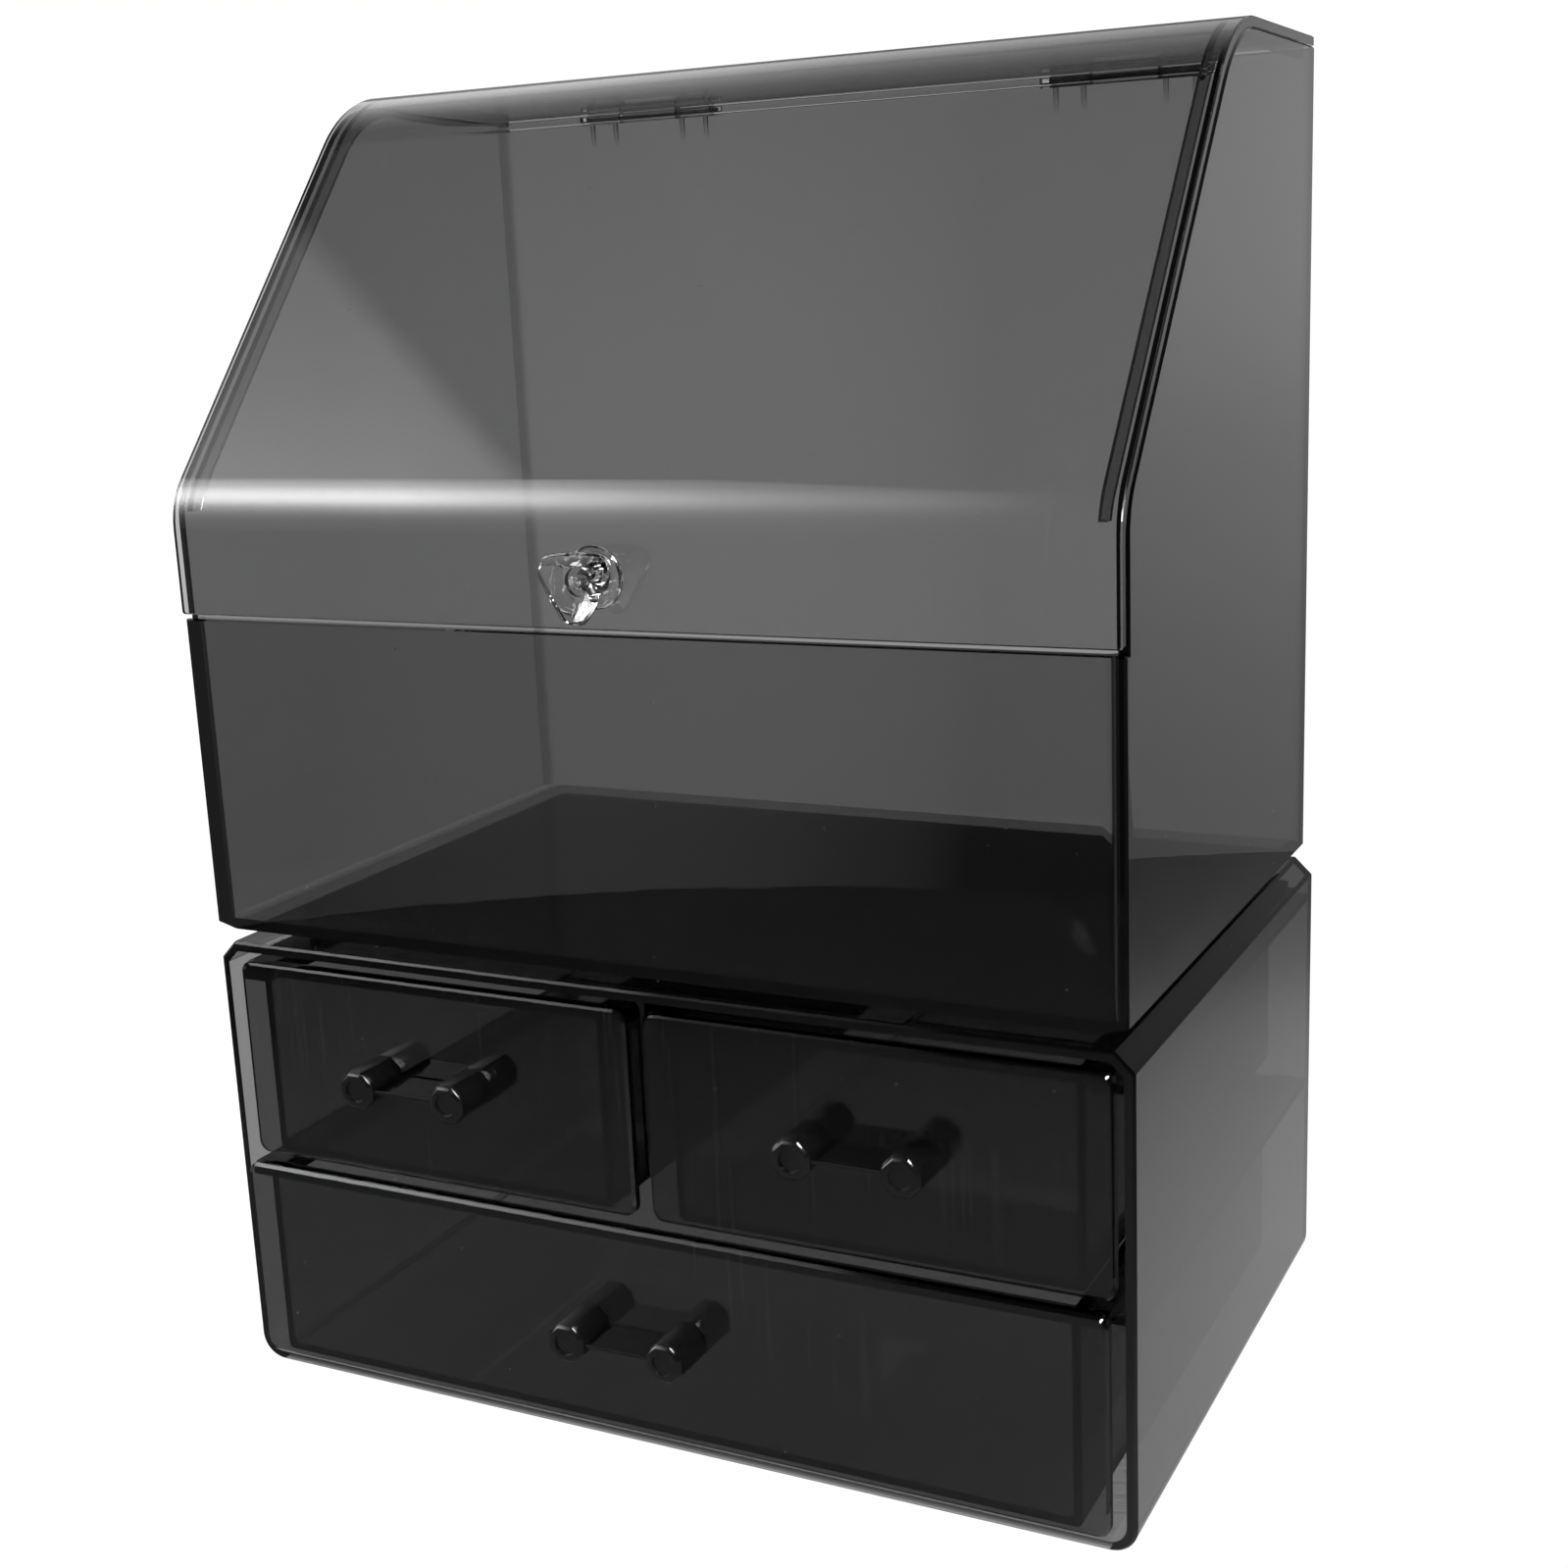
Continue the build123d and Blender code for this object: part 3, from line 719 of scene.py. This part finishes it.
class MAKEUPBOX_OT_knob(bpy.types.Operator):
    """Cut the crystal knob that stands for the plain one on the lid's lip"""

    bl_idname = "makeup_box.knob"
    bl_label = "Knob"

    def execute(self, context):
        knob = context.scene.makeup_box_knob
        low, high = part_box("knob")
        screw_low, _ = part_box("knob_screw")
        place = ((low[0] + high[0]) / 2, high[1], high[2] - knob.disc_radius)
        bore = high[1] - screw_low[1] + KNOB_BORE_PAST_SCREW
        piece = knob_shape("crystal_knob", knob, place, bore)
        stand_in(piece, "knob", "lid", crystal("knob_crystal"))
        return {"FINISHED"}


class MAKEUPBOX_OT_screws(bpy.types.Operator):
    """Make the threaded screws of the pulls and the knob, with a cross in each head"""

    bl_idname = "makeup_box.screws"
    bl_label = "Screws"

    def execute(self, context):
        screws = context.scene.makeup_box_screws
        finish = steel("screw_steel", grain=(2500.0, 200.0, 2500.0))
        sets = (
            ("pull_screws_left", "drawer_left", 2),
            ("pull_screws_right", "drawer_right", 2),
            ("pull_screws_bottom", "drawer_bottom", 2),
            ("knob_screw", "lid", 1),
        )
        for replaced, body, number in sets:
            low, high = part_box(replaced)
            radius = (high[2] - low[2]) / 2
            seat = high[1] - screws.head_height
            ends = (low[0] + radius, high[0] - radius)[:number]
            places = [(x, seat, low[2] + radius) for x in ends]
            name = replaced.replace("screw", "threaded_screw")
            piece = screw_shape(name, screws, places, seat - low[1])
            stand_in(piece, replaced, body, finish)
        return {"FINISHED"}


class MAKEUPBOX_OT_stage(bpy.types.Operator):
    """Set up the floor, the studio light and the camera"""

    bl_idname = "makeup_box.stage"
    bl_label = "Stage"

    def execute(self, context):
        studio = context.scene.makeup_box_studio
        self.floor(studio)
        self.world(context.scene)
        self.camera(context.scene, studio)
        context.scene.view_settings.view_transform = "Standard"
        return {"FINISHED"}

    def floor(self, studio):
        """A round pale floor: points at even angles on one circle. It takes soft shadows and shows white. In
        reflections it is a pool of light, brightest by the case's right foot."""
        corners = 96
        angle = np.linspace(0.0, FULL_TURN, corners, endpoint=False)
        ring = np.column_stack([np.cos(angle), np.sin(angle), np.zeros(corners)]) * studio.floor_radius
        mesh = bpy.data.meshes.new("floor")
        mesh.from_pydata(ring.tolist(), [], [list(range(corners))])
        floor = bpy.data.objects.new("floor", mesh)
        bpy.context.scene.collection.objects.link(floor)
        material, tree, output, place = blank_material("floor_white")
        ripple = noise(tree, place, scale=400.0, detail=2.0)
        normal = bumped(tree, ripple, strength=0.05, distance=0.0002)
        paper = node(tree, "ShaderNodeBsdfDiffuse", {"Color": rgba(studio.floor_colour), "Normal": normal})
        far = node(tree, "ShaderNodeVectorMath", {0: place}, operation="LENGTH").outputs["Value"]
        pool = ramp(tree, far, FLOOR_BY_DISTANCE)
        side = ramp(tree, axes(tree, place)[0], FLOOR_BY_X)
        mirrored = product(tree, pool, side)
        strength = node(tree, "ShaderNodeMix", {0: plain_view(tree), 2: mirrored, 3: FLOOR_SEEN}).outputs[0]
        white = node(tree, "ShaderNodeEmission", {"Color": WHITE, "Strength": strength})
        shares = {0: FLOOR_GLOW_SHARE, 1: paper.outputs[0], 2: white.outputs[0]}
        mixed = node(tree, "ShaderNodeMixShader", shares)
        tree.links.new(mixed.outputs[0], output.inputs["Surface"])
        mesh.materials.append(material)

    def world(self, scene):
        """White for the camera, also through the plastic. In reflections it is dim in front and below, and
        pale behind but for a dim band above the horizon. It has a bright softbox on the left, cut off by a
        slanting edge, and a small lamp on the right. Light that thick plastic bends far up or down is dim."""
        world = bpy.data.worlds.new("studio")
        scene.world = world
        world.use_nodes = True
        tree = world.node_tree
        tree.nodes.clear()
        output = node(tree, "ShaderNodeOutputWorld")
        way = node(tree, "ShaderNodeTexCoord").outputs["Generated"]
        x, y, z = axes(tree, way)
        backdrop = product(
            tree, ramp(tree, y, BACKDROP_BY_Y), ramp(tree, x, BACKDROP_BY_X), ramp(tree, z, BACKDROP_BY_Z),
        )
        front = product(tree, ramp(tree, x, FRONT_BY_X), ramp(tree, y, FRONT_BY_Y))
        upright = node(tree, "ShaderNodeCombineXYZ", {1: y, 2: z}).outputs[0]
        facing = node(tree, "ShaderNodeVectorMath", {0: upright}, operation="NORMALIZE").outputs[0]
        softbox = product(
            tree, ramp(tree, dot(tree, way, SOFTBOX_SIDE), SOFTBOX_BY_SIDE),
            ramp(tree, axes(tree, facing)[2], SOFTBOX_BY_RISE),
            ramp(tree, x, SOFTBOX_BY_X), ramp(tree, y, SOFTBOX_BY_Y),
        )
        lamp = product(tree, ramp(tree, dot(tree, way, LAMP_WAY), LAMP_BY_NEARNESS), LAMP_STRENGTH)
        room = maths(tree, "ADD", backdrop, front)
        mirrored = maths(tree, "ADD", room, maths(tree, "ADD", softbox, lamp))
        direct = node(tree, "ShaderNodeLightPath").outputs["Is Camera Ray"]
        white = maths(tree, "MAXIMUM", ramp(tree, z, BENT_LIGHT_BY_Z), direct)
        strength = node(tree, "ShaderNodeMix", {0: plain_view(tree), 2: mirrored, 3: white}).outputs[0]
        light = node(tree, "ShaderNodeBackground", {"Color": WHITE, "Strength": strength})
        tree.links.new(light.outputs[0], output.inputs["Surface"])

    def camera(self, scene, studio):
        """The camera looks along yaw and pitch and is rolled about its own axis."""
        yaw, pitch, roll = studio.camera_yaw, studio.camera_pitch, studio.camera_roll
        ahead = Vector((math.sin(yaw) * math.cos(pitch), math.cos(yaw) * math.cos(pitch), math.sin(pitch)))
        level = Vector((math.cos(yaw), -math.sin(yaw), 0.0))
        above = level.cross(ahead)
        right = math.cos(roll) * level + math.sin(roll) * above
        up = math.cos(roll) * above - math.sin(roll) * level
        lens = bpy.data.cameras.new("camera")
        lens.sensor_width = 36.0
        lens.lens = studio.focal_length
        lens.clip_start = 0.01
        camera = bpy.data.objects.new("camera", lens)
        camera.matrix_world = Matrix((
            (right.x, up.x, -ahead.x, studio.camera_place[0]),
            (right.y, up.y, -ahead.y, studio.camera_place[1]),
            (right.z, up.z, -ahead.z, studio.camera_place[2]),
            (0.0, 0.0, 0.0, 1.0),
        ))
        scene.collection.objects.link(camera)
        scene.camera = camera


STEPS = (
    MAKEUPBOX_OT_stage, MAKEUPBOX_OT_case, MAKEUPBOX_OT_drawers, MAKEUPBOX_OT_pulls, MAKEUPBOX_OT_display_box,
    MAKEUPBOX_OT_lid, MAKEUPBOX_OT_knob, MAKEUPBOX_OT_screws,
)
GROUPS = {
    "makeup_box_plastic": MakeupBoxPlastic,
    "makeup_box_pulls": MakeupBoxPulls,
    "makeup_box_knob": MakeupBoxKnob,
    "makeup_box_screws": MakeupBoxScrews,
    "makeup_box_studio": MakeupBoxStudio,
}


class MAKEUPBOX_PT_panel(bpy.types.Panel):
    """Lists the steps that build the box's looks"""

    bl_idname = "MAKEUPBOX_PT_panel"
    bl_label = "Makeup Box"
    bl_space_type = "VIEW_3D"
    bl_region_type = "UI"
    bl_category = "Makeup Box"

    def draw(self, context):
        for step in STEPS:
            self.layout.operator(step.bl_idname)
        for group in GROUPS:
            settings = getattr(context.scene, group)
            for key in settings.bl_rna.properties.keys():
                if key not in ("rna_type", "name"):
                    self.layout.prop(settings, key)


def register():
    """Registers the property groups, the operators and the panel."""
    for name, group in GROUPS.items():
        bpy.utils.register_class(group)
        setattr(bpy.types.Scene, name, bpy.props.PointerProperty(type=group))
    for step in (*STEPS, MAKEUPBOX_PT_panel):
        bpy.utils.register_class(step)


def unregister():
    """Takes back what register did."""
    for step in (MAKEUPBOX_PT_panel, *reversed(STEPS)):
        bpy.utils.unregister_class(step)
    for name, group in GROUPS.items():
        delattr(bpy.types.Scene, name)
        bpy.utils.unregister_class(group)


def main():
    """Builds everything in order."""
    register()
    for step in STEPS:
        group, name = step.bl_idname.split(".")
        getattr(getattr(bpy.ops, group), name)()


if __name__ == "__main__":
    main()
